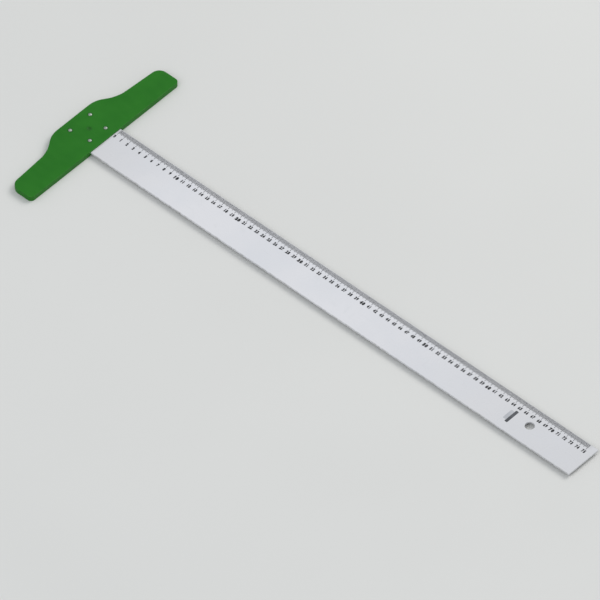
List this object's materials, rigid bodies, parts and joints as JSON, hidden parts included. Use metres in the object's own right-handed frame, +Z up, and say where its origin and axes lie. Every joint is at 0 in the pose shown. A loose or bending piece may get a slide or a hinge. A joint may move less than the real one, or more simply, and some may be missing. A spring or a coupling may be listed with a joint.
{
  "type": "t square",
  "caption": "Fixed-head plastic T-square: a long white graduated blade riveted between the halves of a green head that slides along a drawing board's edge.",
  "frame": {"origin": "middle of the head's working edge, in the plane of the blade's underside", "axes": "+X along the blade, away from the head; +Y along the head, towards the blade's graduated edge; +Z up, out of the printed face"},
  "size_m": [0.8182, 0.26, 0.0086],
  "materials": {
    "blade_plastic": "semi-gloss",
    "head_plastic": "satin",
    "rivet_metal": "satin",
    "washer_metal": "satin",
    "scale_print": "matte"
  },
  "bodies": {
    "root": {"blade": "blade_plastic", "head_cover": "head_plastic", "head_base": "head_plastic", "rivet_front_right": "rivet_metal", "rivet_front_left": "rivet_metal", "rivet_back_right": "rivet_metal", "rivet_back_left": "rivet_metal", "washer_front_right": "washer_metal", "washer_front_left": "washer_metal", "washer_back_right": "washer_metal", "washer_back_left": "washer_metal"}
  },
  "joints": []
}
